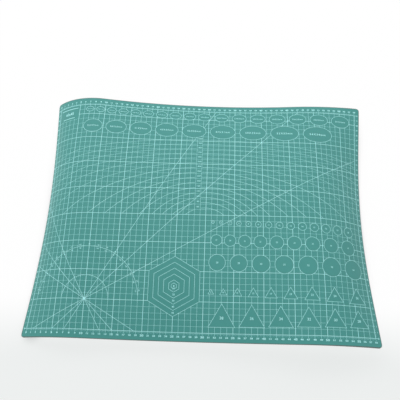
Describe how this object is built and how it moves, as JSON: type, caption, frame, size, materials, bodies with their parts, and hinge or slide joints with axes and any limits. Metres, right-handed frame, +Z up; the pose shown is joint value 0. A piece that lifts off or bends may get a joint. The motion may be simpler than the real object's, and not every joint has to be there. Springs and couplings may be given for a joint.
{
  "type": "craft cutting mat",
  "caption": "Curled self-healing craft cutting mat: a laminated sheet with a printed centimetre grid and drawing templates, for cutting on with a knife.",
  "frame": {"origin": "on the table, under the middle of the mat's bounding box", "axes": "+X along the mat's length to the right, +Y to the back edge, +Z up out of the printed face"},
  "size_m": [0.5958, 0.4486, 0.0526],
  "materials": {
    "top_pvc": "matt",
    "core_pvc": "cut edge",
    "bottom_pvc": "matt"
  },
  "bodies": {
    "root": {"top_skin": "top_pvc", "core": "core_pvc", "bottom_skin": "bottom_pvc"}
  },
  "joints": []
}
